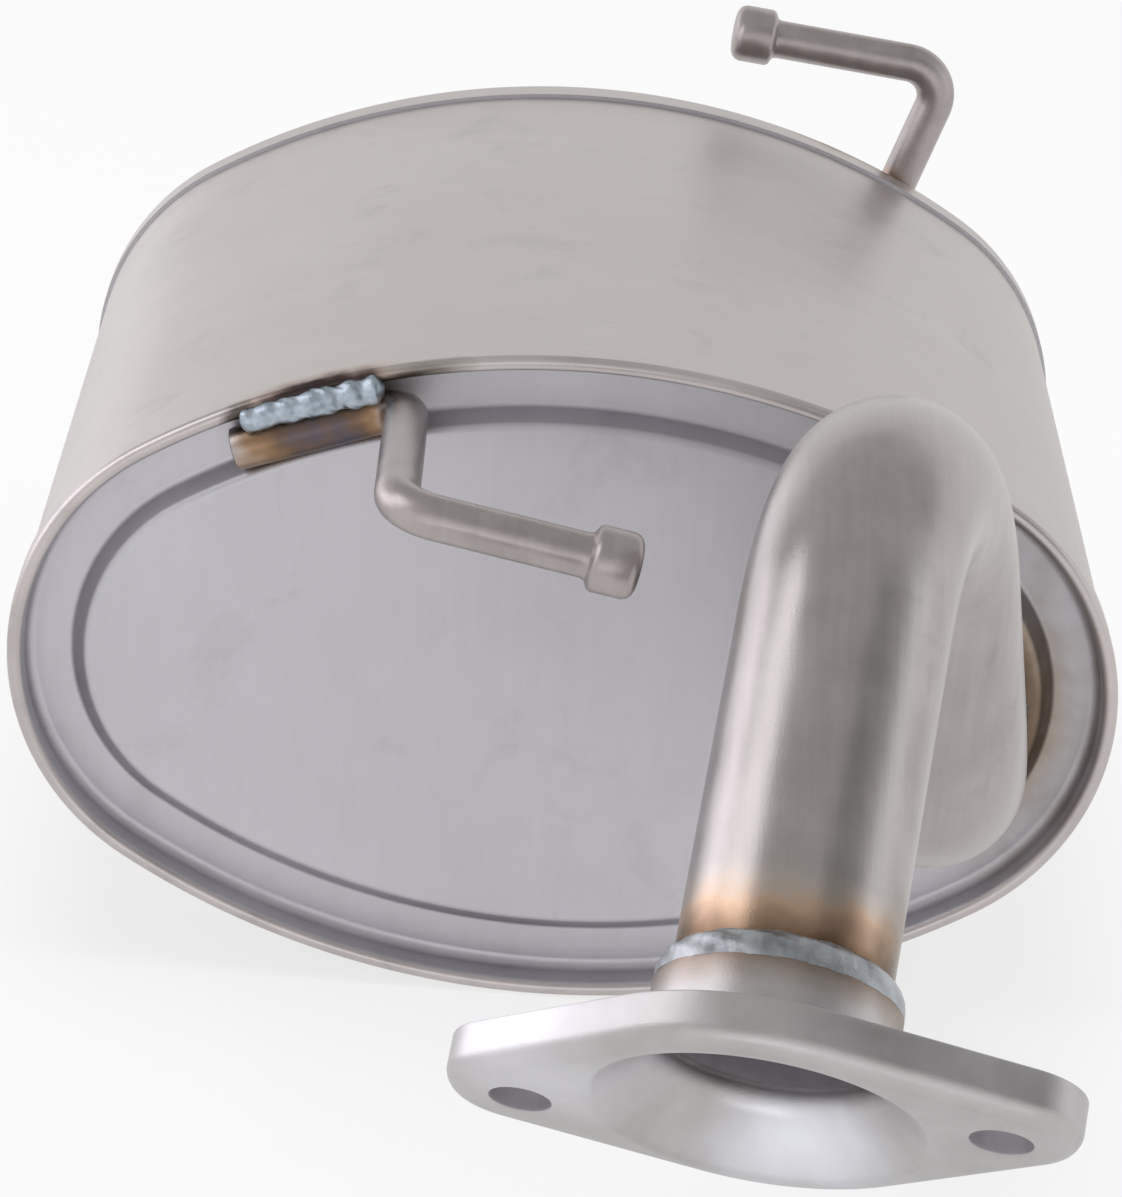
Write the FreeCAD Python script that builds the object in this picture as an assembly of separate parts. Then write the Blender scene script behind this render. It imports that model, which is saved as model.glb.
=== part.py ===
import FreeCAD, Part
import math
import os

# Exhaust muffler: an oval rolled-steel can with two lock-seamed end plates, a bent
# inlet pipe with a pressed two-bolt flange, a straight outlet spigot and two hangers.
# The can's axis runs along +Y from the inlet end plate to the outlet end plate,
# X is the can's wide axis and +Z its upper side.  Sizes are in millimetres.
# The model is drawn about the middle of the inlet rim and set down at the end with
# the middle of the flange's gasket face at the origin.

Vec = FreeCAD.Vector

# can
can_half_width = 128.0
can_half_height = 79.4
can_end_radius = 60.0
can_length = 223.0
wrap_sheet = 0.8
plate_sheet = 1.0
seam_gap = 0.6
seam_bead_width = 5.0
seam_bead_rise = 0.9

# lock seam and pressed end plate
hem_length = 9.0
groove_depth = 9.0
groove_radius = 2.5
ring_width = 8.3
floor_step = 5.2
step_run = 3.3
step_foot_radius = 1.6
step_edge_radius = 2.4
floor_lap = 4.0
fold_chords = 2
press_chords = 1

# baffles and inner tubes
baffle_sheet = 1.2
baffle_lip = 8.0
baffle_corner = 3.0
baffle_collar = 6.0
front_chamber = 62.0
middle_chamber = 84.0
tube_wall = 1.2
tube_standoff = 26.0
tube_end_gap = 2.0
wool_slack = 0.3
return_tube_offset = 10.0
slot_rows = 2
slots_per_row = 6
slot_width = 5.0
slot_length = 24.0
slot_pitch = 34.0

# pipes
pipe_radius = 21.35
pipe_wall = 1.5
pipe_lap = 14.0
inlet_floor_margin = 0.15
inlet_drop = 3.0
inlet_reach = 52.0
inlet_rise = 131.0
inlet_rise_shift = 22.0
inlet_rise_lean = 40.0
flange_run = 178.3
flange_run_slope = 43.17
flange_run_swing = 9.74
first_bend = 44.0
second_bend = 47.0
outlet_floor_margin = 21.15
outlet_reach = 56.0
spigot_radius = 21.0
spigot_length = 45.0
spigot_taper = 3.0

# inlet flange
flange_sheet = 3.0
flange_wall = 10.5
flange_edge_radius = 4.2
flange_inner_radius = 1.0
bolt_circle = 94.0
bolt_hole_radius = 6.0
bolt_collar_wall = 2.0
bolt_collar_height = 8.5
ear_margin = 9.0
mouth_radius = 32.0
mouth_margin = 7.0
cone_height = 12.0
cone_neck_radius = 6.0
mouth_round = 2.5
mouth_lap = 0.3
neck_height = 24.5
pipe_seat_gap = 3.0
neck_chords = 2
flange_roll = 16.6

# hangers
rod_radius = 5.0
rod_bend = 9.0
head_radius = 7.4
head_length = 11.0
head_round = 2.2
rod_ring_gap = 0.6
rod_step_gap = 0.2
front_root_middle = -59.0
front_root = 41.0
front_leg = 66.0
front_reach = 54.0
front_slope = 10.5
rear_root_middle = 64.95
rear_root = 33.0
rear_leg = 42.7
rear_leg_angle = 71.3
rear_reach = 58.5
rear_slope = 6.1
rim_contact = 0.2
cut_over = 1.0

# welds
ring_weld = 3.4
flange_weld = 6.0
weld_bulge = 0.5
bead_radius = 3.9
bead_length = 33.0
bead_offset = 1.3
bead_sink = 0.1

# worked out from the sizes above
wrap_total = 2 * wrap_sheet
hem_total = wrap_total + 2 * plate_sheet
shell_inset = plate_sheet
inside_inset = plate_sheet + wrap_total
fold_radius = hem_total / 2
step_inset = hem_total + groove_radius + ring_width
ring_face = groove_depth
floor_face = groove_depth - floor_step
floor_back = floor_face + plate_sheet
step_slant = math.hypot(step_run, floor_step)
step_miter = plate_sheet / 2 * (step_slant - step_run) / floor_step
rod_level = ring_face - rod_radius - rod_ring_gap
rod_inset = step_inset - (step_slant * (rod_radius + rod_step_gap)
                          - step_run * (rod_radius + rod_ring_gap)) / floor_step
bead_inset = hem_total + bead_offset
pipe_bore = pipe_radius - pipe_wall
tube_radius = pipe_radius + tube_wall
front_baffle_face = floor_back + front_chamber
rear_baffle_face = front_baffle_face + middle_chamber
floor_half_width = can_half_width - step_inset - step_run - step_edge_radius
weld_half_width = pipe_radius + ring_weld
x_axis = Vec(1, 0, 0)
y_axis = Vec(0, 1, 0)
z_axis = Vec(0, 0, 1)
inlet_offset = Vec(floor_half_width - weld_half_width - inlet_floor_margin, 0, -inlet_drop)
outlet_offset = Vec(weld_half_width + outlet_floor_margin - floor_half_width, 0, 0)


def arc_points(centre, first, last, radius, chords):
    # a true arc through three points, or the ends of a few equal chords
    start = (first - centre).normalize() * radius
    end = (last - centre).normalize() * radius
    if not chords:
        return [centre + start, centre + (start + end).normalize() * radius, centre + end]
    side = (end - start * (start.dot(end) / radius ** 2)).normalize() * radius
    sweep = start.getAngle(end)
    turns = [sweep * i / chords for i in range(chords + 1)]
    return [centre + start * math.cos(t) + side * math.sin(t) for t in turns]


def sheet_edges(path, thickness, place):
    # closed outline of a bent sheet: path holds (u, v, bend radius, chords) along its
    # middle, where a bend with no chords is a true arc
    half = thickness / 2
    points = [Vec(p[0], p[1], 0) for p in path]
    runs = []
    start = points[0]
    for i in range(1, len(points) - 1):
        back = (points[i - 1] - points[i]).normalize()
        ahead = (points[i + 1] - points[i]).normalize()
        corner = back.getAngle(ahead)
        reach = path[i][2] / math.tan(corner / 2)
        first = points[i] + back * reach
        last = points[i] + ahead * reach
        centre = points[i] + (back + ahead).normalize() * (path[i][2] / math.sin(corner / 2))
        runs.append((start, first))
        runs.append((first, centre, last, path[i][3]))
        start = last
    runs.append((start, points[-1]))

    def side(sign):
        edges = []
        for run in runs:
            if len(run) == 2:
                along = run[1] - run[0]
                if along.Length < 1e-6:
                    continue
                along.normalize()
                shift = Vec(-along.y, along.x, 0) * (sign * half)
                edges.append([run[0] + shift, run[1] + shift])
                continue
            first, centre, last, chords = run
            turn = 1 if (first - centre).cross(last - centre).z > 0 else -1
            radius = (first - centre).Length - sign * turn * half
            bend = arc_points(centre, first, last, radius, chords)
            if chords:
                edges += [[bend[k], bend[k + 1]] for k in range(chords)]
            else:
                edges.append(bend)
        return edges

    left = side(1)
    right = side(-1)
    edges = left + [[left[-1][-1], right[-1][-1]]]
    edges += [list(reversed(e)) for e in reversed(right)]
    edges.append([right[0][0], left[0][0]])
    return [[place(p) for p in e] for e in edges]


def face_of(outline):
    edges = []
    for points in outline:
        if len(points) == 2:
            edges.append(Part.makeLine(points[0], points[1]))
        else:
            edges.append(Part.Arc(points[0], points[1], points[2]).toShape())
    return Part.Face(Part.Wire(edges))


def oval_arcs():
    # the four arcs of the rim: centre, radius, first angle and sweep in degrees
    a, b, r = can_half_width, can_half_height, can_end_radius
    top_radius = (a * a + b * b - 2 * a * r) / (2 * (b - r))
    drop = top_radius - b
    joint = math.degrees(math.atan2(drop, a - r))
    return [
        (Vec(a - r, 0, 0), r, -joint, 2 * joint),
        (Vec(0, 0, -drop), top_radius, joint, 180 - 2 * joint),
        (Vec(r - a, 0, 0), r, 180 - joint, 2 * joint),
        (Vec(0, 0, drop), top_radius, 180 + joint, 180 - 2 * joint),
    ]


def on_arc(arc, inset, angle, y=0.0):
    centre, radius = arc[0], arc[1] - inset
    turn = math.radians(angle)
    return Vec(centre.x + radius * math.cos(turn), y, centre.z + radius * math.sin(turn))


def oval_face(inset, y):
    edges = []
    for arc in oval_arcs():
        angles = (arc[2], arc[2] + arc[3] / 2, arc[2] + arc[3])
        edges.append(Part.Arc(*[on_arc(arc, inset, angle, y) for angle in angles]).toShape())
    return Part.Face(Part.Wire(edges))


def oval_slab(inset, y0, y1):
    return oval_face(inset, y0).extrude(Vec(0, y1 - y0, 0))


def rolled_round(path, thickness):
    # a sheet section carried round the oval: path is in inset and y
    ring = None
    for arc in oval_arcs():
        def place(p, arc=arc):
            return on_arc(arc, p.x, arc[2], p.y)
        section = face_of(sheet_edges(path, thickness, place))
        part = section.revolve(arc[0], Vec(0, -1, 0), arc[3])
        ring = part if ring is None else ring.fuse(part)
    return ring


def cylinder(centre, direction, radius, length):
    return Part.makeCylinder(radius, length, centre, direction)


def mirrored(shape):
    # the inlet end's shape, turned into the outlet end's
    return shape.mirror(Vec(0, can_length / 2, 0), y_axis)


def clean(shape):
    shape = shape.removeSplitter()
    return shape.Solids[0] if len(shape.Solids) == 1 else shape


def run_through(points, bends, radius, bore=0.0):
    # round bar or pipe through the points, with an arc of its own radius at each corner
    def section(centre, direction):
        face = Part.Face(Part.Wire(Part.makeCircle(radius, centre, direction)))
        if bore:
            face = face.cut(Part.Face(Part.Wire(Part.makeCircle(bore, centre, direction))))
        return face

    pieces = []
    start = points[0]
    for i in range(1, len(points) - 1):
        back = (points[i - 1] - points[i]).normalize()
        ahead = (points[i + 1] - points[i]).normalize()
        corner = back.getAngle(ahead)
        reach = bends[i - 1] / math.tan(corner / 2)
        first = points[i] + back * reach
        centre = points[i] + (back + ahead).normalize() * (bends[i - 1] / math.sin(corner / 2))
        axis = back.cross(ahead) * -1
        pieces.append(section(start, back).extrude(first - start))
        turn = 180 - math.degrees(corner)
        pieces.append(section(first, back).revolve(centre, axis, turn))
        start = points[i] + ahead * reach
    pieces.append(section(start, points[-1] - start).extrude(points[-1] - start))
    whole = pieces[0]
    for piece in pieces[1:]:
        whole = whole.fuse(piece)
    return clean(whole)


def end_plate(openings):
    # rolled hem, deep groove, flat ring, slanted step and raised floor of one pressed sheet
    half = plate_sheet / 2
    wall = hem_total - half
    foot = step_inset + step_miter
    inner_edge = foot + step_run + step_edge_radius + floor_lap
    fold = fold_radius - half
    path = [
        (half, hem_length, 0, 0),
        (half, half, fold, fold_chords),
        (wall, half, fold, fold_chords),
        (wall, ring_face + half, groove_radius + half, fold_chords),
        (foot, ring_face + half, step_foot_radius + half, press_chords),
        (foot + step_run, floor_face + half, step_edge_radius - half, press_chords),
        (inner_edge, floor_face + half, 0, 0),
    ]
    plate = rolled_round(path, plate_sheet)
    plate = plate.fuse(oval_slab(inner_edge - floor_lap / 2, floor_face, floor_back))
    for place in openings:
        hole = cylinder(place - y_axis * can_length, y_axis, pipe_radius, 2 * can_length)
        plate = plate.cut(hole)
    return clean(plate)


def tube_places():
    return [inlet_offset, outlet_offset, Vec(return_tube_offset, 0, 0)]


def baffle(face, lip_way):
    # flanged oval plate with a drawn collar round each tube
    half = baffle_sheet / 2
    edge = inside_inset + half
    inner_edge = edge + 2 * baffle_corner
    mid = face + half
    path = [
        (edge, mid + lip_way * baffle_lip, 0, 0),
        (edge, mid, baffle_corner, press_chords),
        (inner_edge, mid, 0, 0),
    ]
    plate = rolled_round(path, baffle_sheet)
    plate = plate.fuse(oval_slab(inner_edge - baffle_corner / 2, face, face + baffle_sheet))
    for place in tube_places():
        at = Vec(place.x, mid, place.z)
        collar = cylinder(at, y_axis * lip_way, tube_radius + baffle_sheet, baffle_collar)
        plate = plate.fuse(collar)
    for place in tube_places():
        at = Vec(place.x, 0, place.z)
        plate = plate.cut(cylinder(at, y_axis, tube_radius, can_length))
    return clean(plate)


def inner_tube(place, y0, y1, pierced):
    at = Vec(place.x, y0, place.z)
    tube = cylinder(at, y_axis, tube_radius, y1 - y0)
    tube = tube.cut(cylinder(at, y_axis, pipe_radius, y1 - y0))
    if pierced:
        middle = (front_baffle_face + baffle_sheet + rear_baffle_face) / 2
        first = middle - (slot_pitch * (slot_rows - 1) + slot_length) / 2
        punches = []
        for row in range(slot_rows):
            corner = Vec(place.x, first + row * slot_pitch, place.z - slot_width / 2)
            for turn in range(slots_per_row):
                punch = Part.makeBox(tube_radius + tube_wall, slot_length, slot_width, corner)
                angle = 360 * (turn + 0.5 * (row % 2)) / slots_per_row
                punch.rotate(at, y_axis, angle)
                punches.append(punch)
        tube = tube.cut(punches)
    return clean(tube)


def inlet_points():
    exit_point = inlet_offset + y_axis * (floor_back + pipe_lap)
    knee = inlet_offset - y_axis * inlet_reach
    crown = knee + Vec(-inlet_rise_shift, -inlet_rise_lean, inlet_rise)
    slope = math.radians(flange_run_slope)
    swing = math.radians(flange_run_swing)
    way = Vec(-math.cos(slope) * math.sin(swing), -math.cos(slope) * math.cos(swing),
              -math.sin(slope))
    return [exit_point, knee, crown, crown + way * flange_run], way


inlet_path, flange_way = inlet_points()
flange_middle = inlet_path[-1]


def flange_frame():
    # local x along the bolt row, local z from the gasket face towards the pipe
    flat = (x_axis - flange_way * flange_way.dot(x_axis)).normalize()
    other = flange_way.cross(flat)
    turn = math.radians(flange_roll)
    row = flat * math.cos(turn) + other * math.sin(turn)
    depth = flange_way * -1
    across = depth.cross(row)
    return FreeCAD.Placement(FreeCAD.Matrix(row.x, across.x, depth.x, flange_middle.x,
                                            row.y, across.y, depth.y, flange_middle.y,
                                            row.z, across.z, depth.z, flange_middle.z,
                                            0, 0, 0, 1))


def turned(path, thickness):
    # a sheet section in radius and height, turned about local z
    def place(p):
        return Vec(p.x, 0, p.y)
    return face_of(sheet_edges(path, thickness, place)).revolve(Vec(0, 0, 0), z_axis, 360)


def flange_outline(inset, z0, z1):
    # centre disc and two ears joined by their common tangents
    disc = mouth_radius + mouth_margin - inset
    ear = bolt_hole_radius + ear_margin - inset
    offset = bolt_circle / 2
    slant = math.acos((disc - ear) / offset)

    def at(cx, radius, angle):
        return Vec(cx + radius * math.cos(angle), radius * math.sin(angle), z0)

    right = [at(offset, ear, t) for t in (-slant, 0, slant)]
    top = [at(0, disc, t) for t in (slant, math.pi / 2, math.pi - slant)]
    left = [at(-offset, ear, math.pi + t) for t in (-slant, 0, slant)]
    low = [at(0, disc, -t) for t in (math.pi - slant, math.pi / 2, slant)]
    arcs = [right, top, left, low]
    outline = []
    for i, arc in enumerate(arcs):
        outline.append(arc)
        outline.append([arc[2], arcs[(i + 1) % 4][0]])
    return face_of(outline).extrude(Vec(0, 0, z1 - z0))


def edges_at(shape, height):
    return [e for e in shape.Edges if abs(e.BoundBox.ZMin - height) < 1e-6
            and abs(e.BoundBox.ZMax - height) < 1e-6]


def inlet_flange():
    half = flange_sheet / 2
    pan = flange_outline(0, 0, flange_wall)
    pan = pan.makeFillet(flange_edge_radius, edges_at(pan, 0.0))
    hollow = flange_outline(flange_sheet, flange_sheet, flange_wall + flange_sheet)
    hollow = hollow.makeFillet(flange_inner_radius, edges_at(hollow, flange_sheet))
    pan = pan.cut(hollow)
    throat = mouth_radius + mouth_round
    pan = pan.cut(cylinder(Vec(0, 0, -cut_over), z_axis, throat, flange_sheet + 2 * cut_over))
    collar = pipe_radius + half
    path = [
        (collar, neck_height, 0, 0),
        (collar, cone_height, cone_neck_radius, neck_chords),
        (mouth_radius + half, half, mouth_round, neck_chords),
        (throat + mouth_lap, half, 0, 0),
    ]
    flange = pan.fuse(turned(path, flange_sheet))
    for sign in (-1, 1):
        at = Vec(sign * bolt_circle / 2, 0, flange_sheet / 2)
        flange = flange.fuse(cylinder(at, z_axis, bolt_hole_radius + bolt_collar_wall,
                                      bolt_collar_height - flange_sheet / 2))
        at = Vec(sign * bolt_circle / 2, 0, -cut_over)
        flange = flange.cut(cylinder(at, z_axis, bolt_hole_radius,
                                     bolt_collar_height + 2 * cut_over))
    flange = clean(flange)
    flange.Placement = flange_frame()
    return flange


def outlet_pipe():
    # plain pipe whose outer end is drawn down to the next pipe's bore
    start = can_length - floor_back - pipe_lap
    end = can_length + outlet_reach
    neck = end - spigot_length

    def skin(outer, spigot):
        outline = [(0, start), (outer, start), (outer, neck - spigot_taper),
                   (spigot, neck), (spigot, end), (0, end)]
        points = [outlet_offset + Vec(r, y, 0) for r, y in outline]
        face = Part.Face(Part.makePolygon(points + points[:1]))
        return face.revolve(outlet_offset, y_axis, 360).Solids[0]

    return clean(skin(pipe_radius, spigot_radius).cut(
        skin(pipe_bore, spigot_radius - pipe_wall)))


def fillet_ring(base, way, inner, outer, height):
    # weld bead in the corner between a round pipe and the face it stands on
    side = way.cross(x_axis)
    side = (side if side.Length > 0.1 else way.cross(z_axis)).normalize()
    corner = base + side * inner
    foot = base + side * outer
    top = corner + way * height
    bulge = (foot + top) * 0.5 + (side + way).normalize() * weld_bulge
    face = face_of([[corner, foot], [foot, bulge], [bulge, top], [top, corner]])
    return face.revolve(base, way, 360).Solids[0]


def rim_frame(station, inset):
    # point on the top arc at x = station, with the rim's direction there
    arc = oval_arcs()[1]
    rise = math.acos((station - arc[0].x) / (arc[1] - inset))
    point = on_arc(arc, inset, math.degrees(rise))
    along = Vec(math.sin(rise), 0, -math.cos(rise))
    return point, along


def upset_head(tip, way):
    # forged stop at the rod's end
    body = cylinder(tip - way * head_length, way, head_radius, head_length)
    rims = [e for e in body.Edges if e.Curve.TypeId == "Part::GeomCircle"]
    return body.makeChamfer(head_round, rims)


def front_hanger():
    middle, along = rim_frame(front_root_middle, rod_inset)
    level = y_axis * rod_level
    start = middle - along * (front_root / 2) + level
    corner = middle + along * (front_root / 2) + level
    knee = corner - y_axis * front_leg
    slope = math.radians(front_slope)
    way = Vec(math.cos(slope), 0, -math.sin(slope))
    tip = knee + way * front_reach
    rod = run_through([start, corner, knee, tip], [rod_bend, rod_bend], rod_radius)
    return clean(rod.fuse(upset_head(tip, way))), tip, way


def rear_hanger():
    middle, along = rim_frame(rear_root_middle, rod_inset)
    on_ring = y_axis * (can_length - rod_level)
    past_rim = y_axis * (can_length + rod_radius + rim_contact)
    start = middle - along * (rear_root / 2) + on_ring
    corner = middle + along * (rear_root / 2) + past_rim
    lean = math.radians(rear_leg_angle)
    knee = corner + Vec(math.cos(lean), 0, math.sin(lean)) * rear_leg
    slope = math.radians(rear_slope)
    way = Vec(-math.cos(slope), 0, math.sin(slope))
    tip = knee + way * rear_reach
    rod = run_through([start, corner, knee, tip], [rod_bend, rod_bend], rod_radius)
    return clean(rod.fuse(upset_head(tip, way))), tip, way


def bead_along(station, y, neighbours):
    # straight bead in the groove between hem and rod, trimmed to what it joins
    middle, along = rim_frame(station, bead_inset)
    start = middle - along * (bead_length / 2) + y_axis * y
    bead = cylinder(start, along, bead_radius, bead_length)
    for end, way in ((start, along * -1), (start + along * bead_length, along)):
        bead = bead.fuse(Part.makeCone(bead_radius, bead_radius / 2, bead_radius / 2, end, way))
    for other in neighbours:
        bead = bead.cut(other)
    solids = sorted(bead.removeSplitter().Solids, key=lambda s: s.Volume)
    return solids[-1]


def wraps():
    start = fold_radius
    end = can_length - fold_radius
    middle_inset = shell_inset + wrap_sheet
    outer = oval_slab(shell_inset, start, end).cut(oval_slab(middle_inset, start, end))
    inner = oval_slab(middle_inset, start, end).cut(oval_slab(inside_inset, start, end))
    slot = Part.makeBox(seam_gap, can_length, 4 * wrap_sheet,
                        Vec(-seam_gap / 2, 0, -can_half_height))
    outer = outer.cut(slot.cut(oval_slab(middle_inset, 0, can_length)))
    return clean(outer), clean(inner)


def seam_weld(outer, inner):
    # flat bead that closes the outer wrap along the underside
    low = shell_inset - can_half_height
    half = seam_bead_width / 2
    radius = (half * half + seam_bead_rise ** 2) / (2 * seam_bead_rise)
    run = can_length - 2 * hem_length
    crown = Vec(0, hem_length, low - seam_bead_rise + radius)
    bead = cylinder(crown, y_axis, radius, run)
    keep = Part.makeBox(seam_bead_width, run, 4 * wrap_sheet,
                        Vec(-half, hem_length, low - seam_bead_rise))
    bead = bead.common(keep).cut(outer).cut(inner)
    solids = sorted(bead.removeSplitter().Solids, key=lambda s: s.Volume)
    return solids[-1]


def wool():
    # packing that fills the middle chamber round the tubes
    fill = oval_slab(inside_inset, front_baffle_face + baffle_sheet, rear_baffle_face)
    for place in tube_places():
        at = Vec(place.x, 0, place.z)
        fill = fill.cut(cylinder(at, y_axis, tube_radius + wool_slack, can_length))
    return clean(fill)


def build():
    parts = {}
    front_plate = end_plate([inlet_offset])
    rear_plate = mirrored(end_plate([outlet_offset]))
    outer, inner = wraps()
    parts["front_end_plate"] = front_plate
    parts["rear_end_plate"] = rear_plate
    parts["shell_outer_wrap"] = outer
    parts["shell_inner_wrap"] = inner
    parts["shell_seam_weld"] = seam_weld(outer, inner)

    parts["front_baffle"] = baffle(front_baffle_face, -1)
    parts["rear_baffle"] = baffle(rear_baffle_face, 1)
    tube_start = floor_back + tube_end_gap
    tube_end = can_length - tube_start
    parts["inlet_tube"] = inner_tube(inlet_offset, tube_start,
                                     rear_baffle_face + tube_standoff, True)
    parts["outlet_tube"] = inner_tube(outlet_offset, front_baffle_face - tube_standoff,
                                      tube_end, True)
    parts["return_tube"] = inner_tube(Vec(return_tube_offset, 0, 0),
                                      front_baffle_face - tube_standoff,
                                      rear_baffle_face + tube_standoff, False)
    parts["absorption_wool"] = wool()

    pipe_end = flange_middle - flange_way * (cone_height + pipe_seat_gap)
    pipe_points = inlet_path[:-1] + [pipe_end]
    parts["inlet_pipe"] = run_through(pipe_points, [first_bend, second_bend],
                                      pipe_radius, pipe_bore)
    parts["outlet_pipe"] = outlet_pipe()

    parts["inlet_flange"] = inlet_flange()
    collar_end = flange_middle - flange_way * neck_height
    parts["flange_weld"] = fillet_ring(collar_end, flange_way * -1, pipe_radius,
                                       pipe_radius + flange_sheet, flange_weld)
    parts["inlet_pipe_weld"] = fillet_ring(inlet_offset + y_axis * floor_face, y_axis * -1,
                                           pipe_radius, pipe_radius + ring_weld, ring_weld)
    outlet_foot = outlet_offset + y_axis * (can_length - floor_face)
    parts["outlet_pipe_weld"] = fillet_ring(outlet_foot, y_axis, pipe_radius,
                                            pipe_radius + ring_weld, ring_weld)

    front_rod, front_tip, front_way = front_hanger()
    rear_rod, rear_tip, rear_way = rear_hanger()
    print("front hanger tip", front_tip - flange_middle, "way", front_way)
    print("rear hanger tip", rear_tip - flange_middle, "way", rear_way)
    print("bolt row", flange_frame().multVec(x_axis) - flange_middle)
    parts["front_hanger_rod"] = front_rod
    parts["rear_hanger_rod"] = rear_rod
    parts["front_hanger_weld"] = bead_along(front_root_middle, bead_sink,
                                            [front_plate, front_rod])
    parts["rear_hanger_weld"] = bead_along(rear_root_middle, can_length - bead_sink,
                                           [rear_plate, rear_rod])
    return parts


os.makedirs("parts", exist_ok=True)
for name, shape in build().items():
    shape.translate(flange_middle * -1)
    shape.exportStep(os.path.join("parts", name + ".step"))
    print(name, len(shape.Solids), shape.isValid(), round(shape.Volume), len(shape.Faces))
print("flange way", flange_way, "can middle", flange_middle * -1)
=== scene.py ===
import bpy
import bmesh
import math
import numpy as np
from mathutils import Matrix, Vector


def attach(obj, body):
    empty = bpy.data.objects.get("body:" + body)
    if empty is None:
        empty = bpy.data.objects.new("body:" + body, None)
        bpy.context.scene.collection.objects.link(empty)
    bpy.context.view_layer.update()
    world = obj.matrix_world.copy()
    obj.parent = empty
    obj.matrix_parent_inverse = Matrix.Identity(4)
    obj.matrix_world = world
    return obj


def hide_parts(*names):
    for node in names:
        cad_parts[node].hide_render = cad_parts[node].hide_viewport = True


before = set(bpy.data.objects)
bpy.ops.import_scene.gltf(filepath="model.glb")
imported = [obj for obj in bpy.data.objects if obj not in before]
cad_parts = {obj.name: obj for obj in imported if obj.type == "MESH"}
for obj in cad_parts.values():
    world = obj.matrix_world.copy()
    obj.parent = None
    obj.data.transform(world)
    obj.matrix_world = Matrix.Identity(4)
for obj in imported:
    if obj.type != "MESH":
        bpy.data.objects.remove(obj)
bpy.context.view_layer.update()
print("frame loaded:", len(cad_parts), "nodes")

# Sizes are in millimetres about the middle of the inlet rim, +Y along the can,
# X wide, +Z up.  toFrame sets them down in the part's frame, in metres.
mm = 0.001
sharpFold = 38  # degrees between two faces from which their edge stays crisp
canMiddle = np.array([-39.0003, 220.1646, -6.0133])
xAxis, yAxis, zAxis = np.eye(3)

can = {
    "halfWidth": 128.0, "halfHeight": 79.4, "endRadius": 60.0, "length": 223.0,
    "wrap": 0.8, "plate": 1.0, "hem": 9.0, "grooveDepth": 9.0, "grooveRadius": 2.5,
    "ringWidth": 8.3, "floorStep": 5.2, "stepRun": 3.3, "stepFoot": 1.6, "stepEdge": 2.4,
    "panelLap": 4.0, "pipeBead": 3.4,
    # where the finishes meet: hem seen from outside, hem seen from the end, its skin
    "legStart": 1.5, "edgeDepth": 2.2, "legSkin": 0.4,
}
pipe = {
    "radius": 21.35, "wall": 1.5, "lap": 14.0, "inlet": (83.0, 0.0, -3.0), "reach": 52.0,
    "rise": (-22.0, -40.0, 131.0), "run": 178.3, "slope": 43.17, "swing": 9.74,
    "bends": (44.0, 47.0), "outlet": (-62.0, 0.0, 0.0), "outletReach": 56.0,
    "spigot": 21.0, "spigotLength": 45.0, "taper": 3.0, "setBack": 15.0,
    "flatten": 0.012, "pucker": 0.16, "puckers": 9,
}

hemTotal = 2 * can["wrap"] + 2 * can["plate"]
foldRadius = hemTotal / 2
floorFace = can["grooveDepth"] - can["floorStep"]
floorBack = floorFace + can["plate"]
stepInset = hemTotal + can["grooveRadius"] + can["ringWidth"]
stepSlant = math.hypot(can["stepRun"], can["floorStep"])
inletAt = np.array(pipe["inlet"])
outletAt = np.array(pipe["outlet"])


def toFrame(points):
    return (np.asarray(points, float) + canMiddle) * mm


def unit(v):
    v = np.asarray(v, float)
    return v / np.linalg.norm(v)


# helpers

def addObject(name, data):
    thing = bpy.data.objects.new(name, data)
    bpy.context.scene.collection.objects.link(thing)
    return thing


def evenTurns(count):
    # angles of so many even steps round a circle
    return [2 * math.pi * k / count for k in range(count)]


def makePiece(name, verts, faces, finish, slotName, *nodes, weighted=False, which=None):
    # finish is one material, or a list from which which(face centre) picks by number
    mesh = bpy.data.meshes.new(name)
    mesh.from_pydata([tuple(p) for p in toFrame(verts)], [], [tuple(map(int, f)) for f in faces])
    if which:
        verts = np.asarray(verts, float)
        for polygon, face in zip(mesh.polygons, faces):
            polygon.material_index = which(verts[list(face)].mean(0))
    work = bmesh.new()
    work.from_mesh(mesh)
    bmesh.ops.remove_doubles(work, verts=work.verts, dist=2e-6)
    bmesh.ops.recalc_face_normals(work, faces=work.faces)
    work.to_mesh(mesh)
    work.free()
    mesh.shade_smooth()
    mesh.set_sharp_from_angle(angle=math.radians(sharpFold))
    for skin in finish if isinstance(finish, list) else [finish]:
        mesh.materials.append(skin)
    piece = addObject(name, mesh)
    if weighted:  # keeps flat faces flat beside their rolled edges
        keep = piece.modifiers.new("evenNormals", "WEIGHTED_NORMAL")
        keep.keep_sharp = True
    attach(piece, "root")
    if nodes:
        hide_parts(*nodes)
    return piece


def gridFaces(rows, columns, closeRows=False, closeColumns=True):
    faces = []
    for i in range(rows if closeRows else rows - 1):
        a = i * columns
        b = ((i + 1) % rows) * columns
        for j in range(columns if closeColumns else columns - 1):
            k = (j + 1) % columns
            faces.append((a + j, b + j, b + k, a + k))
    return faces


def fillBetween(loops, height):
    # triangles between closed loops of (x, y) at one height; holes are further loops
    work = bmesh.new()
    edges = []
    for loop in loops:
        ring = [work.verts.new((p[0], p[1], 0)) for p in loop]
        edges += [work.edges.new((ring[i], ring[(i + 1) % len(ring)])) for i in range(len(ring))]
    bmesh.ops.triangle_fill(work, edges=edges, use_beauty=True, normal=(0, 0, 1))
    work.verts.index_update()
    points = [(v.co.x, v.co.y, height) for v in work.verts]
    faces = [[v.index for v in f.verts] for f in work.faces]
    work.free()
    return points, faces


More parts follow.
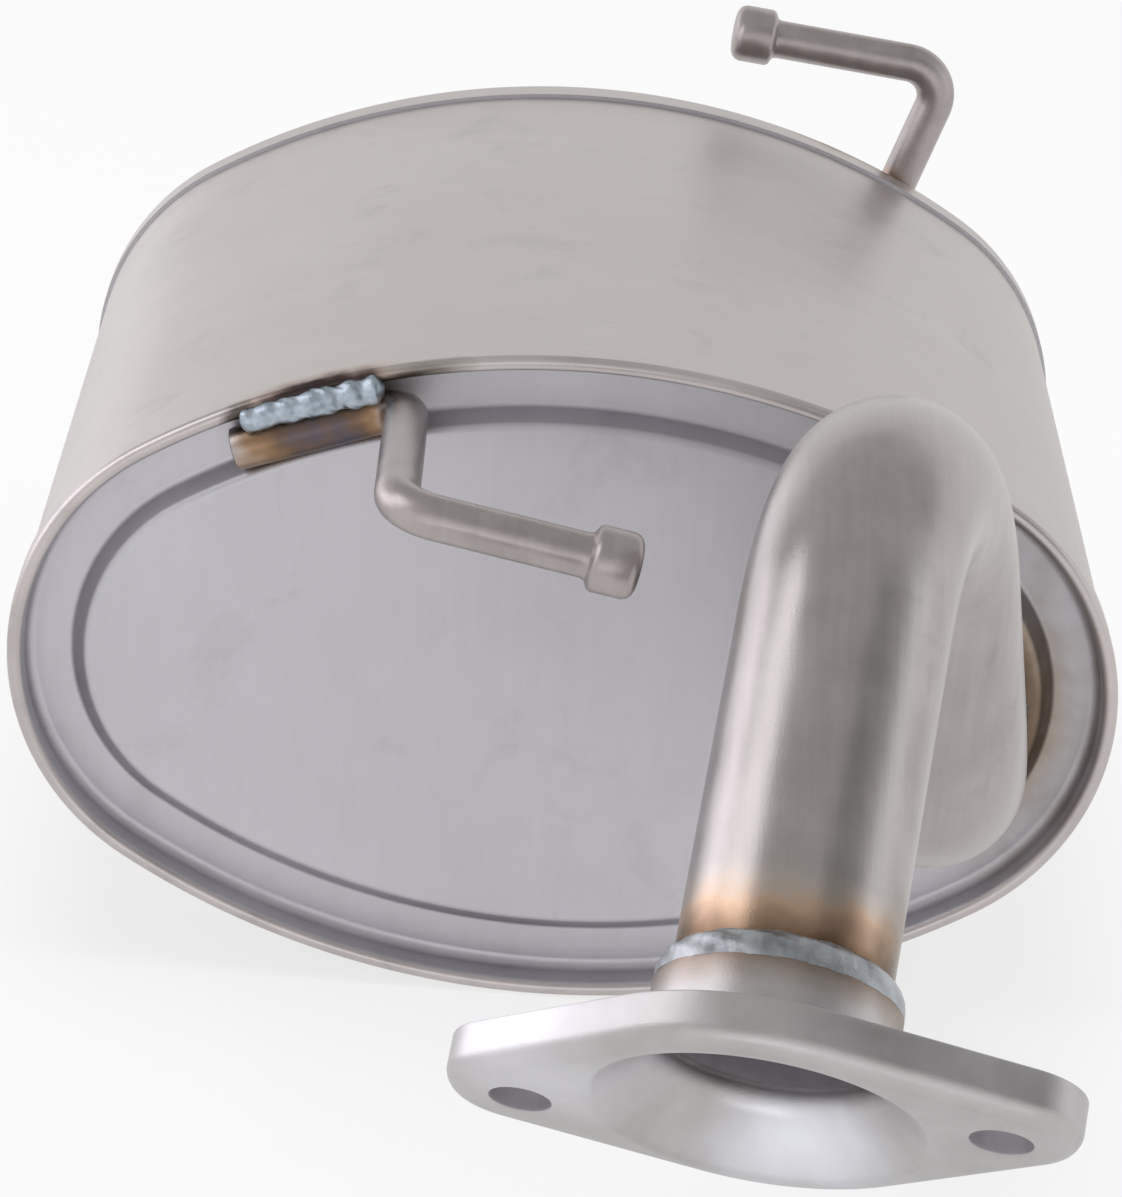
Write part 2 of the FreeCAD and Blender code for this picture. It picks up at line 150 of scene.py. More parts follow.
def joinParts(parts):
    verts, faces = [], []
    for points, polygons in parts:
        shift = len(verts)
        verts += [tuple(p) for p in points]
        faces += [tuple(i + shift for i in f) for f in polygons]
    return verts, faces


def bentLine(path, chords):
    # centre line through (u, v, bend radius) with true round bends
    points = [np.array(p[:2], float) for p in path]
    line = [points[0]]
    for i in range(1, len(points) - 1):
        back = unit(points[i - 1] - points[i])
        ahead = unit(points[i + 1] - points[i])
        half = math.acos(np.clip(back @ ahead, -1, 1)) / 2
        reach = path[i][2] / math.tan(half)
        centre = points[i] + unit(back + ahead) * (path[i][2] / math.sin(half))
        first = points[i] + back * reach - centre
        last = points[i] + ahead * reach - centre
        sweep = math.pi - 2 * half
        turn = math.copysign(1, first[0] * last[1] - first[1] * last[0])
        for k in range(chords + 1):
            t = turn * sweep * k / chords
            line.append(centre + np.array([first[0] * math.cos(t) - first[1] * math.sin(t),
                                           first[0] * math.sin(t) + first[1] * math.cos(t)]))
    line.append(points[-1])
    return np.array(line)


def sheetSides(path, thickness, chords):
    # both skins of a bent sheet, as lines on the left and right of its middle
    line = bentLine(path, chords)
    keep = [0] + [i for i in range(1, len(line)) if np.linalg.norm(line[i] - line[i - 1]) > 1e-6]
    line = line[keep]
    along = np.gradient(line, axis=0)
    steps = np.diff(line, axis=0)
    steps /= np.linalg.norm(steps, axis=1)[:, None]
    along[0], along[-1] = steps[0], steps[-1]
    along[1:-1] = steps[:-1] + steps[1:]
    along /= np.linalg.norm(along, axis=1)[:, None]
    side = np.stack([-along[:, 1], along[:, 0]], 1) * thickness / 2
    return line + side, line - side


def ovalArcs():
    # radius of the rim's two wide arcs, how far past the middle their centres lie, and
    # how far out the centres of the two round ends lie
    a, b, r = can["halfWidth"], can["halfHeight"], can["endRadius"]
    top = (a * a + b * b - 2 * a * r) / (2 * (b - r))
    return top, top - b, a - r


wideRadius, wideDrop, endOffset = ovalArcs()


def ovalStations(step=1.7):
    # places round the four-arc rim: arc centre, radius and angle
    small, joint = can["endRadius"], math.atan2(wideDrop, endOffset)
    arcs = [((endOffset, 0), small, -joint, 2 * joint),
            ((0, -wideDrop), wideRadius, joint, math.pi - 2 * joint),
            ((-endOffset, 0), small, math.pi - joint, 2 * joint),
            ((0, wideDrop), wideRadius, math.pi + joint, math.pi - 2 * joint)]
    stations = []
    for centre, radius, first, sweep in arcs:
        count = round(radius * sweep / step)
        stations += [(centre, radius, first + sweep * k / count) for k in range(count)]
    return stations


def ovalGrid(line, stations):
    # a line of (inset, y) carried round the oval, one row per station
    line = np.asarray(line, float)
    rows = []
    for centre, radius, turn in stations:
        out = radius - line[:, 0]
        rows.append(np.stack([centre[0] + out * math.cos(turn), line[:, 1],
                              centre[1] + out * math.sin(turn)], 1))
    return np.array(rows)


def insetOf(point):
    # how far a point lies inside the four-arc rim
    x, z = abs(point[0]), abs(point[2])
    if z * endOffset < wideDrop * (x - endOffset):
        return can["endRadius"] - math.hypot(x - endOffset, z)
    return wideRadius - math.hypot(x, z + wideDrop)


def rimPlace(x, inset):
    # point on the upper rim at x, with the rim's direction there
    out = wideRadius - inset
    rise = math.acos(x / out)
    point = np.array([out * math.cos(rise), 0, out * math.sin(rise) - wideDrop])
    return point, np.array([math.sin(rise), 0, -math.cos(rise)])


def lathe(profile, base, way, around, ripple=None):
    # closed section of (radius, height) turned about way; ripple moves it in and out
    way = unit(way)
    side = np.cross(way, xAxis)
    side = unit(side if np.linalg.norm(side) > 0.1 else np.cross(way, zAxis))
    other = np.cross(way, side)
    profile = np.asarray(profile, float)
    verts = []
    for t in evenTurns(around):
        out = side * math.cos(t) + other * math.sin(t)
        section = profile if ripple is None else ripple(profile, t)
        verts += [base + out * r + way * h for r, h in section]
    return verts, gridFaces(around, len(profile), closeRows=True)


def runLine(points, bends, step, turnStep):
    # centre line of a bent rod or pipe: place, heading, number of the bend that it is in,
    # share of that bend and the way to its outside; step is in mm, turnStep in degrees
    points = [np.asarray(p, float) for p in points]
    line = []
    start = points[0]
    for i in range(1, len(points)):
        ahead = unit(points[i] - points[i - 1])
        if i == len(points) - 1:
            stop = points[i]
        else:
            back = -ahead
            onward = unit(points[i + 1] - points[i])
            half = math.acos(back @ onward) / 2
            stop = points[i] + back * bends[i - 1] / math.tan(half)
        count = max(1, round(np.linalg.norm(stop - start) / step))
        line += [(start + (stop - start) * k / count, ahead, 0, 0.0, None) for k in range(count)]
        if i == len(points) - 1:
            line.append((stop, ahead, 0, 0.0, None))
            break
        centre = points[i] + unit(back + onward) * bends[i - 1] / math.sin(half)
        sweep = math.pi - 2 * half
        out = unit(stop - centre)
        count = max(4, round(math.degrees(sweep) / turnStep))
        for k in range(count):
            t = sweep * k / count
            away = out * math.cos(t) + ahead * math.sin(t)
            heading = ahead * math.cos(t) - out * math.sin(t)
            line.append((centre + away * bends[i - 1], heading, i, k / count, away))
        start = points[i] + onward * bends[i - 1] / math.tan(half)
    return line


def tubeRings(line, around, reach):
    # rings round the line; reach(i, direction) gives the distance to the skin
    across = None
    rings = []
    for i, (centre, heading, *_) in enumerate(line):
        if across is None:
            across = unit(np.cross(heading, zAxis if abs(heading[2]) < 0.9 else xAxis))
        across = unit(across - heading * (across @ heading))
        other = np.cross(heading, across)
        ring = []
        for t in evenTurns(around):
            out = across * math.cos(t) + other * math.sin(t)
            ring.append(centre + out * reach(i, out))
        rings.append(ring)
    return np.array(rings)


def hexColour(text):
    # sRGB hex to the linear numbers that a shader takes
    parts = [int(text[i:i + 2], 16) / 255 for i in (1, 3, 5)]
    return tuple(c / 12.92 if c <= 0.04045 else ((c + 0.055) / 1.055) ** 2.4 for c in parts) + (1,)


# materials

def addNode(tree, kind, settings=None, links=None):
    # settings: attribute or input -> value, or stops -> a ramp's (place, tone) pairs
    # links: input -> (node, output)
    node = tree.nodes.new("ShaderNode" + kind)
    for key, value in (settings or {}).items():
        if key == "stops":
            bar = node.color_ramp.elements
            while len(bar) < len(value):
                bar.new(0.5)
            for element, (place, tone) in zip(bar, value):
                element.position = place
                element.color = hexColour(tone) if isinstance(tone, str) else (tone, tone, tone, 1)
        elif isinstance(key, str) and hasattr(node, key):
            setattr(node, key, value)
        else:
            node.inputs[key].default_value = value
    for key, (source, output) in (links or {}).items():
        tree.links.new(source.outputs[output], node.inputs[key])
    return node


def emptyTree(owner):
    # node tree of a material or world, ready to be filled
    owner.use_nodes = True
    owner.node_tree.nodes.clear()
    return owner.node_tree


def heatAndLightField(tree, place, zone):
    # 0 on the middle line of a tinted place, which is a weld's heat tint, a painted highlight or
    # painted shade; 1 where it no longer colours the steel
    along = unit(zone["along"])
    side = unit(np.cross(along, zAxis if abs(along[2]) < 0.9 else xAxis))
    turn = Matrix([along, side, np.cross(along, side)]).transposed().to_euler()
    shift = addNode(tree, "Mapping", {
        "vector_type": "TEXTURE", "Location": toFrame(zone["middle"]), "Rotation": turn,
        "Scale": [s * mm for s in zone["reach"]]}, {"Vector": place})
    if zone.get("ring"):  # a ring weld: distance from the circle and not from its middle
        parts = addNode(tree, "SeparateXYZ", links={"Vector": (shift, "Vector")})
        flat = addNode(tree, "CombineXYZ", links={"X": (parts, "Y"), "Y": (parts, "Z")})
        out = addNode(tree, "VectorMath", {"operation": "LENGTH"}, {0: (flat, "Vector")})
        ring = zone["ring"] / zone["reach"][1]
        off = addNode(tree, "Math", {"operation": "SUBTRACT", 1: ring}, {0: (out, "Value")})
        shift = addNode(tree, "CombineXYZ", links={"X": (parts, "X"), "Y": (off, "Value")})
    length = addNode(tree, "VectorMath", {"operation": "LENGTH"}, {0: (shift, "Vector")})
    # the edge of the tint wanders in patches of about 9 mm, as far as ragged says
    wander = addNode(tree, "TexNoise", {"Scale": 1 / (9 * mm), "Detail": 2.0}, {"Vector": place})
    ragged = zone.get("ragged", 0.55)
    uneven = addNode(tree, "Math",
                     {"operation": "MULTIPLY_ADD", 1: ragged, 2: -ragged / 2}, {0: (wander, "Fac")})
    return addNode(tree, "Math", {"operation": "ADD"}, {0: (length, "Value"), 1: (uneven, "Value")})


def steelFinish(name, look, zones=()):
    # look: cloud, grain, grit and wave are sizes in mm, and metal is 1 where it isn't given
    # zones: weld heat tints, painted highlights and painted shade
    finish = bpy.data.materials.new(name)
    tree = emptyTree(finish)
    coords = addNode(tree, "TexCoord")
    place = (coords, "Object")
    # broad clouds where the mill scale, pickling and hands left the sheet uneven
    cloud = addNode(tree, "TexNoise", {"Scale": 1 / (look["cloud"] * mm), "Detail": 4.0,
                                       "Roughness": 0.55}, {"Vector": place})
    cloudTone = addNode(tree, "ValToRGB", {"stops": [(0.3, look["dark"]), (0.7, look["pale"])]},
                        {"Fac": (cloud, "Fac")})
    # the draw lines of rolling, far coarser than real so that they show
    stretch = addNode(tree, "Mapping", {"Scale": [1 / (s * mm) for s in look["grain"]]},
                      {"Vector": place})
    grain = addNode(tree, "TexNoise", {"Scale": 1.0, "Detail": 5.0, "Roughness": 0.6},
                    {"Vector": (stretch, "Vector")})
    grainTone = addNode(tree, "ValToRGB", {"stops": [(0.25, 1 - look["grainDepth"]), (0.75, 1.0)]},
                        {"Fac": (grain, "Fac")})
    multiply = {"data_type": "RGBA", "blend_type": "MULTIPLY", 0: 1.0}
    colour = addNode(tree, "Mix", multiply, {6: (cloudTone, "Color"), 7: (grainTone, "Color")})
    # rubbed smudges, about as wide as a thumb
    smudge = addNode(tree, "TexNoise", {"Scale": 1 / (26 * mm), "Detail": 5.0,
                                        "Roughness": 0.7, "Distortion": 0.6}, {"Vector": place})
    smudgeTone = addNode(tree, "ValToRGB", {"stops": [(0.56, 1.0), (0.72, 1 - look["smudge"])]},
                         {"Fac": (smudge, "Fac")})
    colour = addNode(tree, "Mix", multiply, {6: (colour, 2), 7: (smudgeTone, "Color")})
    roughLow, roughHigh = look["rough"]
    rough = addNode(tree, "MapRange",
                    {"From Min": 0.3, "From Max": 0.7, "To Min": roughLow, "To Max": roughHigh},
                    {"Value": (cloud, "Fac")})
    # weld heat tints, painted highlights and painted shade, laid over the colour
    for zone in zones:
        field = heatAndLightField(tree, place, zone)
        tint, amount = [addNode(tree, "ValToRGB", {"stops": zone[key]},
                                {"Fac": (field, "Value")}) for key in ("stops", "amount")]
        colour = addNode(tree, "Mix", {"data_type": "RGBA"},
                         {0: (amount, "Color"), 6: (colour, 2), 7: (tint, "Color")})
    fine = addNode(tree, "TexNoise", {"Scale": 1 / (look["grit"] * mm), "Detail": 3.0},
                   {"Vector": place})
    wave = addNode(tree, "TexNoise", {"Scale": 1 / (look["wave"] * mm), "Detail": 1.0},
                   {"Vector": place})
    # relief of grit, grain and dents, each with its height in mm
    relief = {}
    for height, depth, source in ((0.2, "gritDepth", fine), (0.2, "grainBump", grain),
                                  (1.5, "waveDepth", wave)):
        bump = addNode(tree, "Bump", {"Strength": look[depth], "Distance": height * mm},
                       dict(relief, Height=(source, "Fac")))
        relief = {"Normal": (bump, "Normal")}
    shader = addNode(tree, "BsdfPrincipled", {"Metallic": look.get("metal", 1.0)},
                     dict(relief, **{"Base Color": (colour, 2), "Roughness": (rough, "Result")}))
    addNode(tree, "OutputMaterial", links={"Surface": (shader, "BSDF")})
    return finish


def heatAndLightZone(middle, along, reach, stops, amount, **more):
    # a tinted place, which is a weld's heat tint, a painted highlight or painted shade: its middle,
    # long axis and half-lengths in mm, then its colours and how much they cover, from the middle
    # outwards; heatAndLightField reads ring and ragged
    return dict(more, middle=middle, along=along, reach=reach, stops=stops, amount=amount)


# weld heat on stainless: burnt brown by the bead, then maroon, brown, straw, bare
heatStops = [(0.0, "#241c1b"), (0.5, "#2c2120"), (0.6, "#57413a"), (0.72, "#92745e"),
             (0.88, "#b9a48f")]
heatAmount = [(0.0, 0.97), (0.55, 0.95), (0.7, 0.5), (0.85, 0.2), (1.0, 0.0)]
strawStops = [(0.0, "#5d4c3e"), (0.35, "#77624f"), (0.6, "#998470"), (0.9, "#b3a494")]
strawAmount = [(0.0, 0.95), (0.5, 0.75), (1.0, 0.0)]

# pipe route and flange frame, as the pipe's dictionary gives them
slope, swing = math.radians(pipe["slope"]), math.radians(pipe["swing"])
flangeWay = np.array([-math.cos(slope) * math.sin(swing), -math.cos(slope) * math.cos(swing),
                      -math.sin(slope)])
knee = inletAt - yAxis * pipe["reach"]
crown = knee + np.array(pipe["rise"])
flangeAt = crown + flangeWay * pipe["run"]

# hanger rods and their welds: places first, because the sheet is tinted round them

hangers = {
    "rod": 5.0, "bend": 9.0, "head": 7.4, "headLength": 11.0, "ringGap": 0.6, "stepGap": 0.2,
    "front": {"at": -59.0, "root": 41.0, "leg": 66.0, "reach": 54.0, "slope": 10.5},
    "rear": {"at": 64.95, "root": 33.0, "leg": 42.7, "lean": 71.3, "reach": 58.5, "slope": 6.1},
    "bead": 3.9, "beadLength": 33.0, "beadOffset": 1.3, "beadTrim": 1.5, "beadShift": 2.3,
    "sink": 0.1,
}
rodLevel = can["grooveDepth"] - hangers["rod"] - hangers["ringGap"]
rodInset = stepInset - (stepSlant * (hangers["rod"] + hangers["stepGap"])
                        - can["stepRun"] * (hangers["rod"] + hangers["ringGap"])) / can["floorStep"]
beadInset = hemTotal + hangers["beadOffset"]
frontBeadAt, frontAlong = rimPlace(hangers["front"]["at"], beadInset)
frontBeadAt = frontBeadAt + yAxis * hangers["sink"]
rearBeadAt, rearAlong = rimPlace(hangers["rear"]["at"], beadInset)
rearBeadAt = rearBeadAt + yAxis * (can["length"] - hangers["sink"])

frontHeat = heatAndLightZone(frontBeadAt, frontAlong, (25.0, 8.5, 8.5), heatStops, heatAmount)
rearHeat = heatAndLightZone(rearBeadAt, rearAlong, (23.0, 8.5, 8.5), heatStops, heatAmount)
# sooty ends where the torch started and stopped
frontStart = heatAndLightZone(frontBeadAt - frontAlong * 18.5, frontAlong, (6.0, 5.0, 5.0),
                      [(0.0, "#1d1917"), (1.0, "#3a302b")], [(0.0, 0.95), (0.6, 0.8), (1.0, 0.0)])
frontStop = heatAndLightZone(frontBeadAt + frontAlong * 23.0, frontAlong, (15.0, 4.5, 4.5),
                     [(0.0, "#453f35"), (1.0, "#7d7261")], [(0.0, 0.9), (0.5, 0.7), (1.0, 0.0)])
# what all the sheet round the hangers took
hangerHeat = [frontHeat, rearHeat, frontStart, frontStop]
# the root of the rod ran through navy, brown and gold
rodStops = [(0.0, "#3c4560"), (0.28, "#454a60"), (0.45, "#67503f"), (0.65, "#8b6c4c"),
            (0.9, "#ab9178")]
rodAmount = [(0.0, 0.95), (0.7, 0.9), (0.85, 0.6), (1.0, 0.0)]
frontRoot = rimPlace(hangers["front"]["at"], rodInset)[0] + yAxis * rodLevel
rearRoot = rimPlace(hangers["rear"]["at"], rodInset)[0] + yAxis * (can["length"] - rodLevel)
frontRootHeat = heatAndLightZone(frontRoot, frontAlong, (25.0, 13.0, 13.0), rodStops, rodAmount)
rearRootHeat = heatAndLightZone(rearRoot, rearAlong, (28.0, 15.0, 15.0), rodStops, rodAmount)
inletHeat = heatAndLightZone(inletAt + yAxis * floorFace, yAxis, (14.0, 13.0, 13.0), strawStops,
                     strawAmount, ring=pipe["radius"] + 1.5)
# painted reflection: a wide brown patch on the end plate's floor right of the inlet, standing in
# for the dark reflection in the recess there
inletPaintedReflection = heatAndLightZone(inletAt + yAxis * floorFace + xAxis * 18.0, yAxis, (24.0, 27.0, 46.0),
                     [(0.0, "#75675a"), (0.6, "#998e84"), (1.0, "#b0a8a2")],
                     [(0.0, 0.9), (0.6, 0.6), (1.0, 0.0)])
outletHeat = dict(inletHeat, middle=outletAt + yAxis * (can["length"] - floorFace))
neckSide = unit(xAxis - flangeWay * flangeWay[0])
neckAt = flangeAt - flangeWay * 30.0
# straw and amber heat tint on the pipe above the bead; the browner right side is painted shade
neckHeat = heatAndLightZone(neckAt, flangeWay, (15.0, 11.0, 11.0),
                    [(0.0, "#6a5038"), (0.25, "#9c7f66"), (0.5, "#c2a081"), (0.85, "#c9b9a8")],
                    [(0.0, 0.95), (0.4, 0.8), (0.7, 0.4), (1.0, 0.0)], ring=pipe["radius"])
# painted shade: darker brown on the pipe's right side above the bead, the side that falls in shade
neckPaintedShade = heatAndLightZone(neckAt + neckSide * 19.0, flangeWay, (24.0, 17.0, 17.0),
                     [(0.0, "#4e3f32"), (0.6, "#6d5c4b"), (1.0, "#857a6e")],
                     [(0.0, 0.9), (0.5, 0.65), (1.0, 0.0)])
# below the bead the thick collar took only a thin grey-brown film
collarHeat = heatAndLightZone(flangeAt - flangeWay * 24.0, flangeWay, (7.0, 7.0, 7.0),
                      [(0.0, "#7a6656"), (0.6, "#9a8a7d"), (1.0, "#b3aaa4")],
                      [(0.0, 0.8), (0.5, 0.5), (1.0, 0.0)], ring=pipe["radius"] + 3.0)
# painted shade: the same darker brown on the collar's right side
collarPaintedShade = dict(neckPaintedShade, middle=flangeAt - flangeWay * 20.0 + neckSide * 22.0,
                   reach=(12.0, 12.0, 12.0))

# painted highlight: a near-white patch on the lower side of the flange's mouth, standing in for the
# reflection of the lights in the cone
coneLow = unit((0.399, 0.595, -0.698))  # in the flange's face, towards its lower side
conePaintedHighlight = heatAndLightZone(flangeAt + coneLow * 25.0, coneLow, (15.0, 26.0, 26.0),
                     [(0.0, "#f6f6fd"), (0.4, "#e4e4ec"), (1.0, "#c6c5c8")],
                     [(0.0, 1.0), (0.4, 0.8), (1.0, 0.0)], ragged=0.25)
# painted highlight: the left ear made paler than the other, standing in for the light from the left
earPaintedHighlight = heatAndLightZone(flangeAt - neckSide * 40.0 - flangeWay * 8.0, neckSide, (34.0, 24.0, 24.0),
                    [(0.0, "#f0eff6"), (1.0, "#d4d3d8")], [(0.0, 0.6), (0.5, 0.35), (1.0, 0.0)],
                    ragged=0.2)
# painted shade: the pipe's cut end, deep in the flange's neck, made darker grey
pipeEndPaintedShade = heatAndLightZone(flangeAt - flangeWay * 14.0, flangeWay, (9.0, 26.0, 26.0),
                   [(0.0, "#6e696c"), (1.0, "#7c777a")], [(0.0, 1.0), (0.85, 1.0), (1.0, 0.0)])

# ferritic stainless, cold rolled: a soft satin skin with faint rolling lines along the can
rolledShell = steelFinish("stainlessRolledSheet", {
    "dark": "#b9b3b1", "pale": "#cac5c2", "cloud": 60.0, "grain": (40.0, 1.6, 40.0),
    "grainDepth": 0.05, "smudge": 0.10, "rough": (0.36, 0.48), "grit": 0.35, "gritDepth": 0.10,
    "grainBump": 0.05, "wave": 45.0, "waveDepth": 0.35}, hangerHeat)
# the same sheet after the press: duller and a little bluer where the lubricant sat
pressedPlate = steelFinish("stainlessPressedSheet", {
    "dark": "#bcbabf", "pale": "#c8c6cb", "cloud": 50.0, "grain": (3.0, 30.0, 30.0),
    "grainDepth": 0.04, "smudge": 0.08, "rough": (0.42, 0.55), "grit": 0.4, "gritDepth": 0.16,
    "grainBump": 0.04, "wave": 50.0,
    "waveDepth": 0.15}, [inletPaintedReflection, inletHeat, outletHeat] + hangerHeat)
# the same sheet where the seaming rolls closed it: browner and burnished
rolledEdge = steelFinish("stainlessSeamedEdge", {
    "dark": "#bab3b1", "pale": "#cac3c1", "cloud": 30.0, "grain": (20.0, 20.0, 20.0),
    "grainDepth": 0.05, "smudge": 0.15, "rough": (0.30, 0.42), "grit": 0.4, "gritDepth": 0.12,
    "grainBump": 0.04, "wave": 30.0, "waveDepth": 0.15}, hangerHeat)
# drawn and mandrel-bent tube: darker, with long die lines
drawnTube = steelFinish("stainlessDrawnTube", {
    "dark": "#a59f9d", "pale": "#b7b1af", "cloud": 26.0, "grain": (1.6, 30.0, 30.0),
    "grainDepth": 0.10, "smudge": 0.12, "rough": (0.25, 0.36), "grit": 0.4, "gritDepth": 0.14,
    "grainBump": 0.10, "wave": 20.0, "waveDepth": 0.12},
    [neckHeat, neckPaintedShade, pipeEndPaintedShade, inletHeat, outletHeat])
# thick pressed plate, tumbled: pale and frosted
pressedFlange = steelFinish("stainlessPressedPlate", {
    "dark": "#b0adac", "pale": "#c2bfbf", "cloud": 22.0, "grain": (6.0, 6.0, 6.0),
    "grainDepth": 0.05, "smudge": 0.08, "rough": (0.34, 0.46), "grit": 0.45, "gritDepth": 0.2,
    "grainBump": 0.05, "wave": 20.0, "waveDepth": 0.1},
    [earPaintedHighlight, conePaintedHighlight, collarHeat, collarPaintedShade])
# bright drawn bar, bent cold
drawnBar = steelFinish("stainlessDrawnBar", {
    "dark": "#a39b99", "pale": "#b5adab", "cloud": 12.0, "grain": (2.0, 20.0, 20.0),
    "grainDepth": 0.10, "smudge": 0.15, "rough": (0.30, 0.42), "grit": 0.35, "gritDepth": 0.15,
    "grainBump": 0.10, "wave": 9.0, "waveDepth": 0.12}, [frontRootHeat, rearRootHeat])
# the cast skin of a gas-shielded bead: cool silver with dark glassy islands
weldBead = steelFinish("stainlessWeldBead", {
    "dark": "#96a2ad", "pale": "#c6d0da", "cloud": 2.6, "grain": (3.0, 3.0, 3.0),
    "grainDepth": 0.18, "smudge": 0.25, "rough": (0.34, 0.5), "grit": 0.5, "gritDepth": 0.3,
    "grainBump": 0.2, "wave": 5.0, "waveDepth": 0.25})
# the same bead run on thicker plate: greyer, as it cooled slowly
ringWeld = steelFinish("stainlessRingBead", {
    "dark": "#85888c", "pale": "#c6cace", "cloud": 7.0, "grain": (3.0, 3.0, 3.0),
    "grainDepth": 0.15, "smudge": 0.3, "rough": (0.34, 0.5), "grit": 0.5, "gritDepth": 0.3,
    "grainBump": 0.2, "wave": 5.0, "waveDepth": 0.25})
# inside of the tube and the bolt holes: grey and dull, where no tool polished it
dullBore = steelFinish("stainlessUnpolishedBore", {
    "dark": "#98949a", "pale": "#aaa6ac", "cloud": 12.0, "grain": (2.0, 20.0, 20.0),
    "grainDepth": 0.05, "smudge": 0.1, "rough": (0.5, 0.6), "grit": 0.4, "gritDepth": 0.2,
    "grainBump": 0.1, "wave": 20.0, "waveDepth": 0.1, "metal": 0.35})
# inside: mill finish, never seen from outside
millSheet = steelFinish("stainlessMillSheet", {
    "dark": "#8f8c8a", "pale": "#a29f9c", "cloud": 40.0, "grain": (10.0, 2.0, 10.0),
    "grainDepth": 0.06, "smudge": 0.1, "rough": (0.38, 0.5), "grit": 0.4, "gritDepth": 0.1,
    "grainBump": 0.05, "wave": 40.0, "waveDepth": 0.1})
woolPacking = steelFinish("basaltWool", {
    "dark": "#8d7c4e", "pale": "#b5a577", "cloud": 8.0, "grain": (1.2, 9.0, 1.2), "grainDepth": 0.4,
    "smudge": 0.2, "rough": (0.85, 0.95), "grit": 0.6, "gritDepth": 0.8, "grainBump": 0.6,
    "wave": 12.0, "waveDepth": 0.5, "metal": 0.0})
print("materials made:", len(bpy.data.materials))


def dressInside(finish, *nodes):
    # pieces that keep their solid's shape and only get a finish
    for node in nodes:
        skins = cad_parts[node].data.materials
        skins.clear()
        skins.append(finish)


dressInside(millSheet, "shell_inner_wrap", "front_baffle", "rear_baffle", "inlet_tube",
            "outlet_tube", "return_tube")
dressInside(woolPacking, "absorption_wool")
dressInside(weldBead, "shell_seam_weld")

# the can: outer wrap and the two lock-seamed end plates

stations = ovalStations()


def shellWrap():
    inset, start, end = can["plate"], foldRadius, can["length"] - foldRadius
    rise = np.linspace(start, end, 90)
    outer = ovalGrid(np.stack([np.full_like(rise, inset), rise], 1), stations)
    inner = ovalGrid(np.stack([np.full_like(rise, inset + can["wrap"]), rise[::-1]], 1), stations)
    grid = np.concatenate([outer, inner], 1)
    faces = gridFaces(len(stations), grid.shape[1], closeRows=True)
    return grid.reshape(-1, 3), faces


makePiece("shellWrap", *shellWrap(), rolledShell, "shell_steel", "shell_outer_wrap")


def endPlate(hole, mirror):
    plate, half = can["plate"], can["plate"] / 2
    wall = hemTotal - half
    foot = stepInset + half * (stepSlant - can["stepRun"]) / can["floorStep"]
    edge = foot + can["stepRun"] + can["stepEdge"] + can["panelLap"]
    path = [
        (half, can["hem"], 0),
        (half, half, foldRadius - half),
        (wall, half, foldRadius - half),
        (wall, can["grooveDepth"] + half, can["grooveRadius"] + half),
        (foot, can["grooveDepth"] + half, can["stepFoot"] + half),
        (foot + can["stepRun"], floorFace + half, can["stepEdge"] - half),
        (edge, floorFace + half, 0),
    ]
    left, right = sheetSides(path, plate, 7)
    front, back = (left, right) if left[-1][1] < right[-1][1] else (right, left)
    section = np.concatenate([front[::-1], back])  # floor front, round the hem, floor back
    grid = ovalGrid(section, stations)
    parts = [(grid.reshape(-1, 3), gridFaces(len(stations), len(section), closeRows=True,
                                             closeColumns=False))]
    around = 120
    hole = [(hole[0] + pipe["radius"] * math.cos(t), hole[2] + pipe["radius"] * math.sin(t))
            for t in evenTurns(around)]
    for column, level in ((0, floorFace), (len(section) - 1, floorBack)):
        loop = [(grid[i, column, 0], grid[i, column, 2]) for i in range(len(stations))]
        points, faces = fillBetween([loop, hole], level)
        parts.append(([(x, z, y) for x, y, z in points], faces))
    ring = [(x, floorFace, z) for x, z in hole] + [(x, floorBack, z) for x, z in hole]
    parts.append((ring, gridFaces(2, around)))
    verts, faces = joinParts(parts)
    verts = np.array(verts, float)
    if mirror:
        verts[:, 1] = can["length"] - verts[:, 1]
    return verts, faces


def plateZone(centre):
    # 0 pressed face, 1 rolled edge, 2 the hem's outer leg, which was rolled with the wrap
    depth = min(centre[1], can["length"] - centre[1])
    inset = insetOf(centre)
    if inset < can["legSkin"] and depth > can["legStart"]:
        return 2
    return 1 if depth < can["edgeDepth"] and inset < hemTotal - can["legSkin"] else 0


plateFinishes = [pressedPlate, rolledEdge, rolledShell]
makePiece("frontEndPlate", *endPlate(inletAt, False), plateFinishes, "plate_steel",
          "front_end_plate", weighted=True, which=plateZone)
makePiece("rearEndPlate", *endPlate(outletAt, True), plateFinishes, "plate_steel",
          "rear_end_plate", weighted=True, which=plateZone)
print("can made")

# pipes


def tubePiece(line, outer, inner, around):
    # open pipe with both skins and flat ends
    rows = len(line)
    out = tubeRings(line, around, outer)
    bore = tubeRings(line, around, inner)
    verts = np.concatenate([out, bore[::-1]]).reshape(-1, 3)
    return verts, gridFaces(2 * rows, around, closeRows=True)


def inletPipe():
    stop = flangeAt - flangeWay * pipe["setBack"]
    start = inletAt + yAxis * (floorBack + pipe["lap"])
    line = runLine([start, knee, crown, stop], pipe["bends"], step=2.5, turnStep=2.5)

    def skin(radius):
        def reach(i, out):
            _, _, bend, share, away = line[i]
            if not bend:
                return radius
            # the bender flattens the outside a little and puckers the inside
            depth = math.sin(math.pi * share)
            outside = out @ away
            size = radius * (1 - pipe["flatten"] * depth * outside ** 2)
            if outside < -0.2:
                fold = math.sin(2 * math.pi * share * pipe["puckers"])
                size += pipe["pucker"] * depth * outside ** 2 * fold
            return size
        return reach
    return tubePiece(line, skin(pipe["radius"]), skin(pipe["radius"] - pipe["wall"]), 112), line


